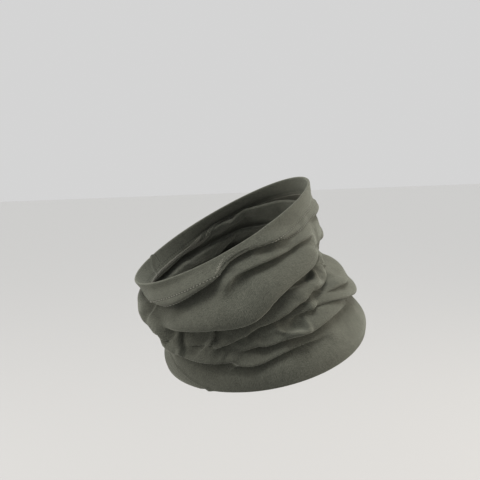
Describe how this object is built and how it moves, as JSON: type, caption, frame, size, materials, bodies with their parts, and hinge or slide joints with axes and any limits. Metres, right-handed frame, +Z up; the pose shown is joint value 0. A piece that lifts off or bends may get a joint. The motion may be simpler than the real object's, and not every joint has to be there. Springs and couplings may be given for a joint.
{
  "type": "neck gaiter",
  "caption": "Soft knitted tube worn round the neck, pushed down into diagonal folds, with a stitched upper hem that pulls up over the chin and nose.",
  "frame": {"origin": "centre of the lower opening, on the neck's axis", "axes": "+Z up the neck, -Y the way the wearer's chin points, where the upper hem dips lowest, +X to the wearer's left"},
  "size_m": [0.1714, 0.193, 0.1583],
  "materials": {
    "knit_cloth": "matte fine jersey knit, foliage green",
    "knit_cloth_inside": "matte wrong side of the jersey knit",
    "sewing_thread": "matte spun sewing thread"
  },
  "bodies": {
    "lower_tube": {"tube_skirt": "knit_cloth", "tube_folds": "knit_cloth", "bottom_tuck": "knit_cloth_inside", "bottom_hem_turn": "knit_cloth_inside", "bottom_needle_row_upper": "sewing_thread", "bottom_needle_row_lower": "sewing_thread", "bottom_looper_thread": "sewing_thread", "skirt_seam_allowance": "knit_cloth_inside", "skirt_seam_thread": "sewing_thread", "folds_seam_allowance": "knit_cloth_inside", "folds_seam_thread": "sewing_thread"},
    "upper_hem": {"tube_collar": "knit_cloth", "top_hem_turn": "knit_cloth_inside", "top_needle_row_upper": "sewing_thread", "top_needle_row_lower": "sewing_thread", "top_looper_thread": "sewing_thread", "collar_seam_allowance": "knit_cloth_inside", "collar_seam_thread": "sewing_thread"}
  },
  "joints": [
    {"name": "hem_pull_up", "type": "hinge", "parent": "lower_tube", "child": "upper_hem", "pos_m": [0, 0.04, 0.111], "axis": [-1, 0, 0], "range_deg": [0, 30], "deforming": ["tube_folds", "folds_seam_allowance", "folds_seam_thread"]}
  ]
}
